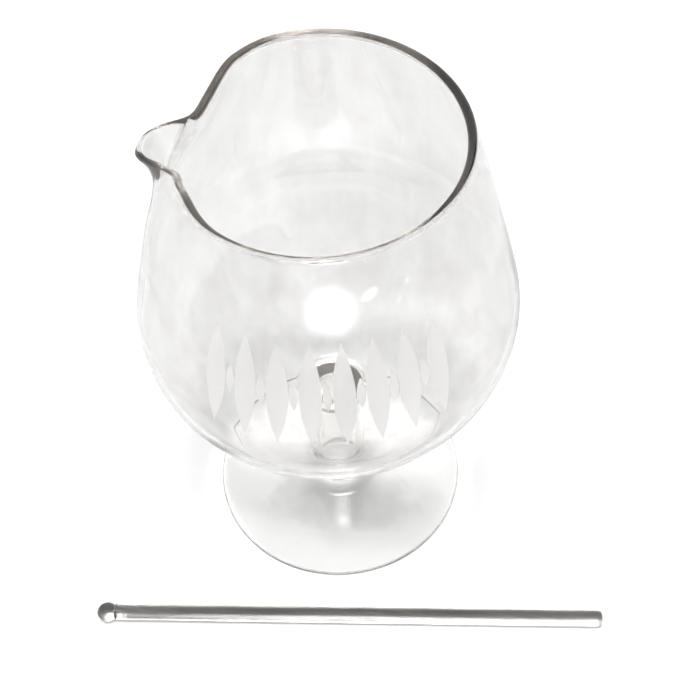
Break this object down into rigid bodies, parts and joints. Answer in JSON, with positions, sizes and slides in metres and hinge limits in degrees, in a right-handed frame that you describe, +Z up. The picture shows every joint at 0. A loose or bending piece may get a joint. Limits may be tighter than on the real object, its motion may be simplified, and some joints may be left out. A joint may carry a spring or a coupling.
{
  "type": "cocktail pitcher",
  "caption": "Footed clear glass cocktail pitcher with a round belly, a wall that leans in to a pulled pouring lip, a tube stem and a thin foot, with a ball-ended glass stirring rod.",
  "frame": {"origin": "middle of the foot, on the table", "axes": "+Z up along the axis of bowl, stem and foot; the pouring lip points along -X; the stirring rod lies on the -Y side"},
  "size_m": [0.1984, 0.1526, 0.2033],
  "materials": {
    "pitcher_glass": "clear blown glass, fire-polished rim, plain frosted band",
    "rod_glass": "clear drawn glass rod, fire-polished ends"
  },
  "bodies": {
    "pitcher": {"bowl": "pitcher_glass", "stem": "pitcher_glass", "foot": "pitcher_glass"},
    "stirrer": {"stirrer_shaft": "rod_glass", "stirrer_ball": "rod_glass"}
  },
  "joints": [
    {"name": "stirrer_lift", "type": "slide", "parent": "pitcher", "child": "stirrer", "axis": [0.0476, -0.3387, 0.9397], "range_m": [0, 0.25]}
  ]
}
